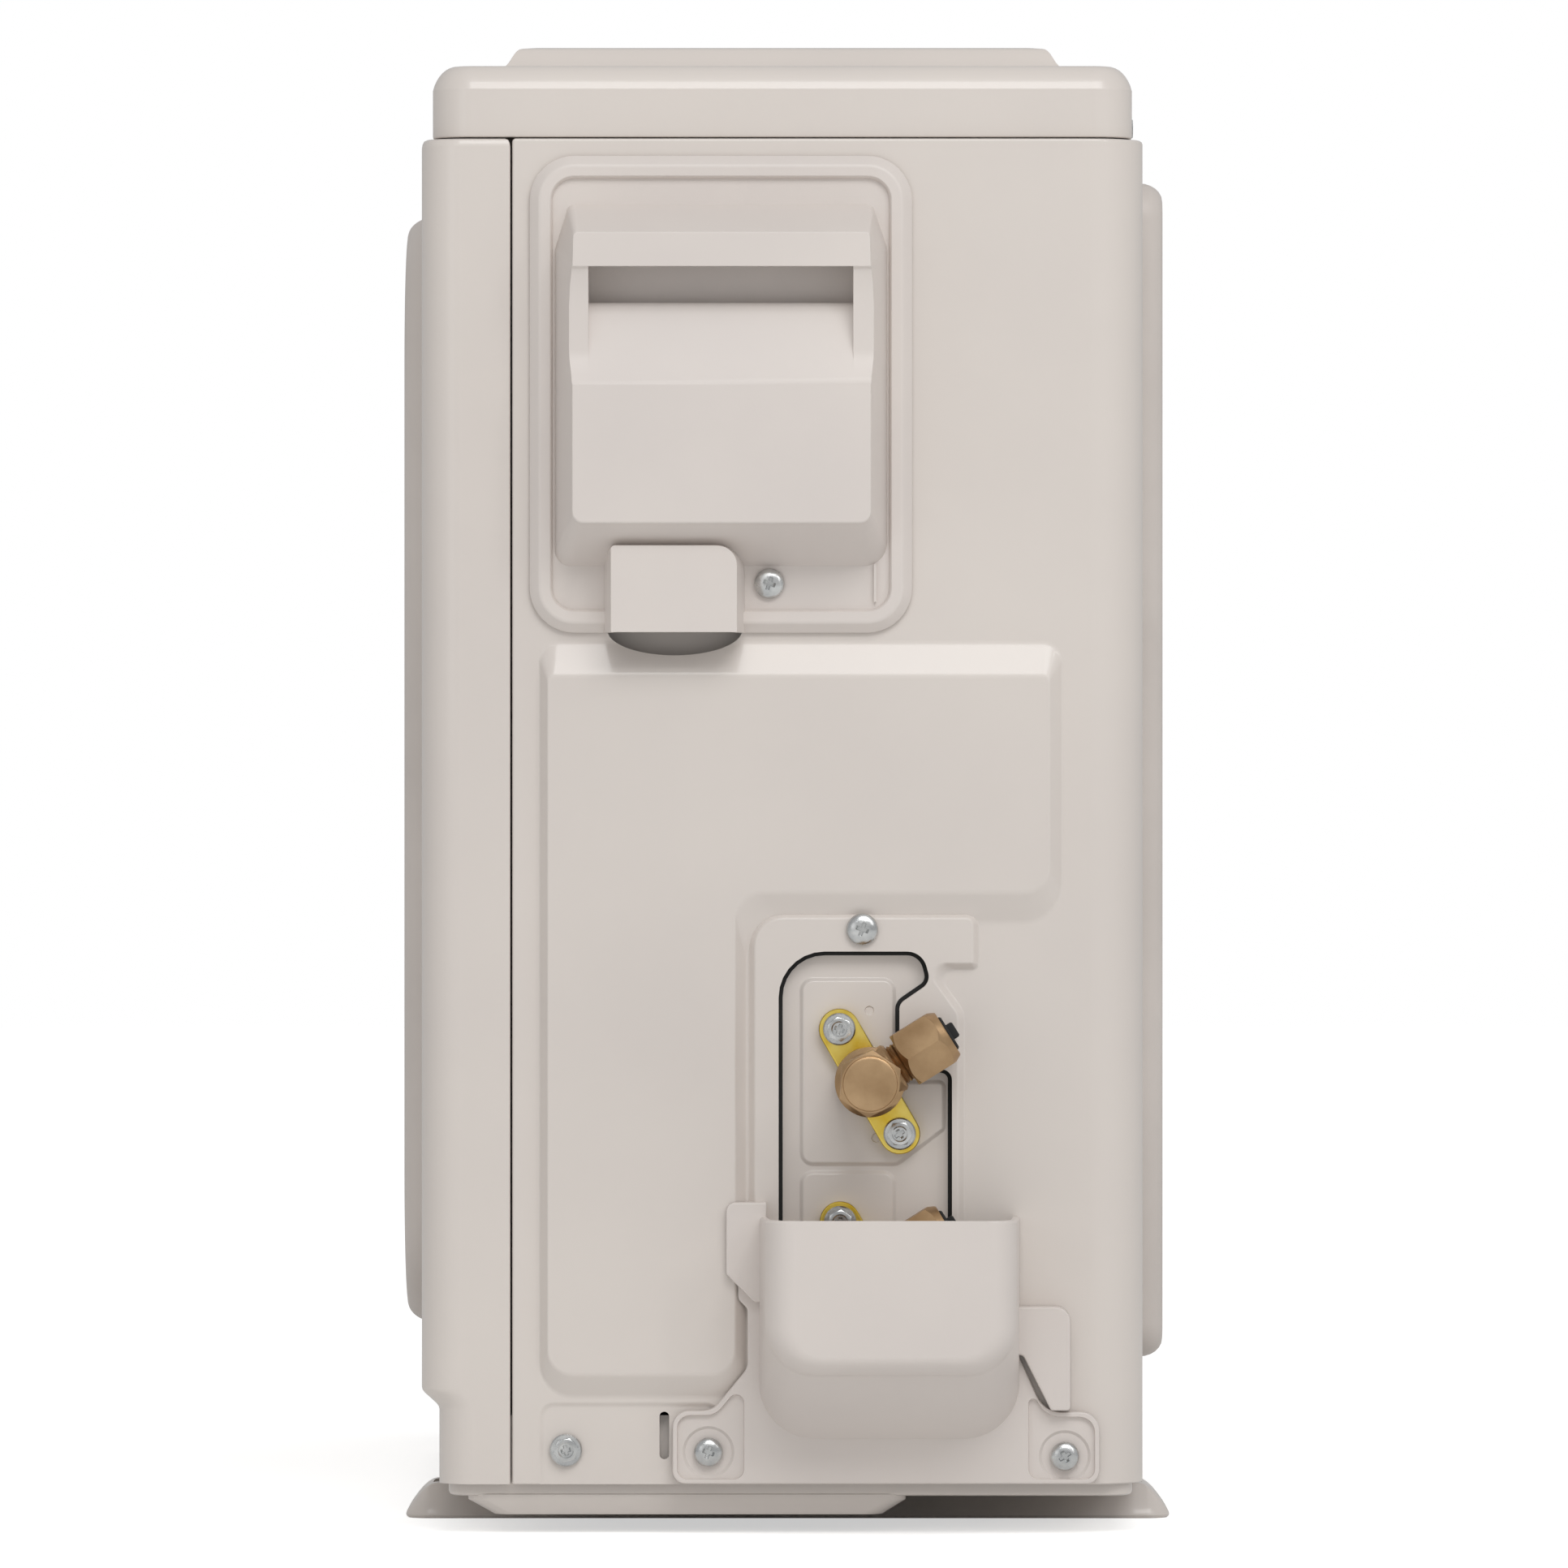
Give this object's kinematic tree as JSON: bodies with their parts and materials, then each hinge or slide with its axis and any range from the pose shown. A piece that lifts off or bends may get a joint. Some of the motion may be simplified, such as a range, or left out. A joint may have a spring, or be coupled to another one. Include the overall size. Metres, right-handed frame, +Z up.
{
  "type": "heat pump outdoor unit",
  "caption": "Outdoor unit of a small air-source heat pump: sheet steel cabinet with fan, coil, compressor, flare service valves and removable plastic covers.",
  "frame": {"origin": "centre of the overall box, at the underside of the feet", "axes": "+X towards the service side with the valves, -Y towards the fan side, +Z up"},
  "size_m": [0.765, 0.303, 0.555],
  "materials": {
    "painted_steel": "glossy powder coat",
    "cover_plastic": "moulded, fine matte grain",
    "galvanised_steel": "galvanised",
    "zinc": "bright zinc plate",
    "brass": "forged and turned",
    "copper": "drawn copper tube",
    "aluminium": "fins and extrusion",
    "rubber": "black",
    "black_paint": "satin black",
    "fan_plastic": "moulded grey",
    "terminal_plastic": "moulded black",
    "circuit_board": "lacquered green"
  },
  "bodies": {
    "cabinet": {"base_pan": "painted_steel", "foot_left": "painted_steel", "foot_right": "painted_steel", "front_panel": "painted_steel", "right_side_panel": "painted_steel", "left_side_panel": "painted_steel", "valve_bracket": "painted_steel", "fan_grille": "cover_plastic", "rear_guard": "cover_plastic", "coil_right_end_plate": "galvanised_steel", "coil_front_end_plate": "galvanised_steel", "partition_plate": "galvanised_steel", "fan_motor_bracket": "galvanised_steel", "electrical_box": "galvanised_steel", "terminal_plate": "galvanised_steel", "side_panel_upper_screw": "zinc", "side_panel_lower_screw": "zinc", "liquid_valve_screw_upper": "zinc", "liquid_valve_screw_lower": "zinc", "gas_valve_screw_upper": "zinc", "gas_valve_screw_lower": "zinc", "liquid_valve_body": "brass", "gas_valve_body": "brass", "reversing_valve": "brass", "expansion_valve": "brass", "discharge_pipe": "copper", "suction_pipe": "copper", "liquid_pipe": "copper", "gas_pipe": "copper", "coil": "aluminium", "heat_sink": "aluminium", "compressor_grommet_1": "rubber", "compressor_grommet_2": "rubber", "compressor_grommet_3": "rubber", "compressor": "black_paint", "accumulator": "black_paint", "fan_motor": "black_paint", "terminal_block": "terminal_plastic", "compressor_terminal_cap": "terminal_plastic", "circuit_board": "circuit_board"},
    "fan": {"propeller_fan": "fan_plastic", "motor_shaft": "zinc", "fan_nut": "zinc"},
    "terminal_cover": {"terminal_cover": "cover_plastic", "terminal_cover_screw": "zinc"},
    "valve_cover": {"valve_cover": "cover_plastic", "valve_cover_screw_front": "zinc", "valve_cover_screw_rear": "zinc"},
    "top_cover": {"top_cover": "painted_steel", "lid_screw_left": "zinc", "lid_screw_right": "zinc"},
    "liquid_cap": {"liquid_valve_cap": "brass"},
    "gas_cap": {"gas_valve_cap": "brass"},
    "liquid_stem": {"liquid_valve_stem": "brass"},
    "gas_stem": {"gas_valve_stem": "brass"},
    "liquid_nut": {"liquid_flare_nut": "brass"},
    "gas_nut": {"gas_flare_nut": "brass"},
    "liquid_plug": {"liquid_port_plug": "rubber"},
    "gas_plug": {"gas_port_plug": "rubber"},
    "service_cap": {"service_port_cap": "brass"}
  },
  "joints": [
    {"name": "fan_spin", "type": "hinge", "parent": "cabinet", "child": "fan", "pos_m": [-0.142, 0, 0.2843], "axis": [0, 1, 0], "continuous": true},
    {"name": "terminal_cover_pull", "type": "slide", "parent": "cabinet", "child": "terminal_cover", "axis": [1, 0, 0], "range_m": [0, 0.12]},
    {"name": "valve_cover_pull", "type": "slide", "parent": "cabinet", "child": "valve_cover", "axis": [1, 0, 0], "range_m": [0, 0.14]},
    {"name": "top_cover_lift", "type": "slide", "parent": "cabinet", "child": "top_cover", "axis": [0, 0, 1], "range_m": [0, 0.12]},
    {"name": "liquid_cap_turn", "type": "hinge", "parent": "cabinet", "child": "liquid_cap", "pos_m": [0.364, 0.035, 0.1682], "axis": [1, 0, 0], "range_deg": [0, 1530]},
    {"name": "gas_cap_turn", "type": "hinge", "parent": "cabinet", "child": "gas_cap", "pos_m": [0.364, 0.0353, 0.0967], "axis": [1, 0, 0], "range_deg": [0, 1530]},
    {"name": "liquid_stem_turn", "type": "hinge", "parent": "cabinet", "child": "liquid_stem", "pos_m": [0.35, 0.035, 0.1682], "axis": [1, 0, 0], "range_deg": [0, 1800]},
    {"name": "gas_stem_turn", "type": "hinge", "parent": "cabinet", "child": "gas_stem", "pos_m": [0.35, 0.0353, 0.0967], "axis": [1, 0, 0], "range_deg": [0, 1800]},
    {"name": "liquid_nut_turn", "type": "hinge", "parent": "cabinet", "child": "liquid_nut", "pos_m": [0.3455, 0.035, 0.1682], "axis": [0, 0.848, 0.5299], "range_deg": [0, 1530]},
    {"name": "gas_nut_turn", "type": "hinge", "parent": "cabinet", "child": "gas_nut", "pos_m": [0.3455, 0.0353, 0.0967], "axis": [0, 0.848, 0.5299], "range_deg": [0, 1530]},
    {"name": "liquid_plug_pull", "type": "slide", "parent": "liquid_nut", "child": "liquid_plug", "axis": [0, 0.848, 0.5299], "range_m": [0, 0.03]},
    {"name": "gas_plug_pull", "type": "slide", "parent": "gas_nut", "child": "gas_plug", "axis": [0, 0.848, 0.5299], "range_m": [0, 0.03]},
    {"name": "service_cap_turn", "type": "hinge", "parent": "cabinet", "child": "service_cap", "pos_m": [0.3455, 0.0133, 0.0967], "axis": [0, -1, 0], "range_deg": [0, 1530]}
  ]
}
